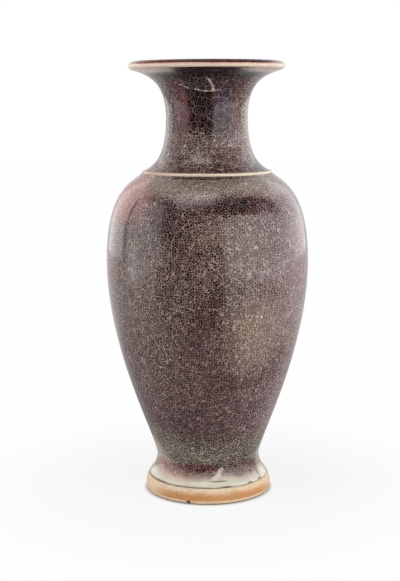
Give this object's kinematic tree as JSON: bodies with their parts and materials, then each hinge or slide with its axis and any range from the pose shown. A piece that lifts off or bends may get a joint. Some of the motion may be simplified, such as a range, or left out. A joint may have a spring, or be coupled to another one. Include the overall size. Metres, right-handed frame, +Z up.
{
  "type": "ceramic vase",
  "caption": "Tall baluster vase with a trumpet mouth, a raised fillet at the root of the neck, crackled plum glaze and a spreading foot on an unglazed ring.",
  "frame": {"origin": "centre of the flat face that the vase stands on", "axes": "+Z up along the turning axis, towards the mouth; the vase is round, so X and Y are free"},
  "size_m": [0.1776, 0.1776, 0.38],
  "materials": {
    "biscuit": "unglazed, warm orange-brown, matt",
    "clay": "fired clay under the glaze, matt",
    "pale_glaze": "glaze run thin to a pale cream",
    "crackle_glaze": "plum and grey-green glaze with fine pale crackle, glossy",
    "lining_glaze": "dark red-brown glaze, glossy"
  },
  "bodies": {
    "root": {"foot_ring": "biscuit", "foot_section": "clay", "base_floor": "clay", "underside_glaze": "lining_glaze", "lower_body": "clay", "upper_body": "clay", "neck": "clay", "mouth": "clay", "neck_ring": "pale_glaze", "lip_roll": "pale_glaze", "body_glaze": "crackle_glaze", "neck_glaze": "crackle_glaze", "interior_glaze": "lining_glaze"}
  },
  "joints": []
}
